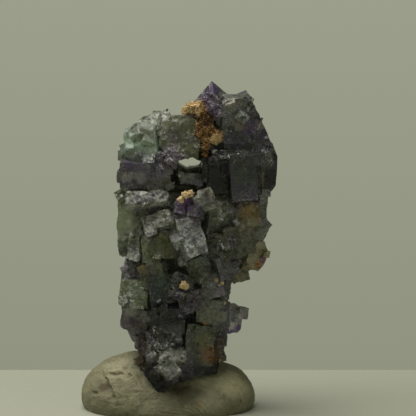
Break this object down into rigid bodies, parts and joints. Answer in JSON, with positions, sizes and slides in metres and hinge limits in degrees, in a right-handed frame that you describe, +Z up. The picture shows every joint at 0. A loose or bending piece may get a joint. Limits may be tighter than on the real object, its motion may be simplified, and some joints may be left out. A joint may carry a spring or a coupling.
{
  "type": "fluorite crystal cluster on putty",
  "caption": "Intergrown cluster of green to purple fluorite crystals with a dark octahedral point and rusty crust, standing in a lump of beige putty.",
  "frame": {"origin": "middle of the bounding box at the plane where the putty rests", "axes": "+X to the right and +Y away from the viewer of the front, +Z up"},
  "size_m": [0.0218, 0.015, 0.0361],
  "materials": {
    "fluorite": "glassy to frosted",
    "crust": "rough",
    "cream": "rough",
    "putty": "matte"
  },
  "bodies": {
    "root": {"fluorite_cluster": "fluorite", "iron_crust": "crust", "cream_curl": "cream", "cream_nodule": "cream", "putty_base": "putty"}
  },
  "joints": []
}
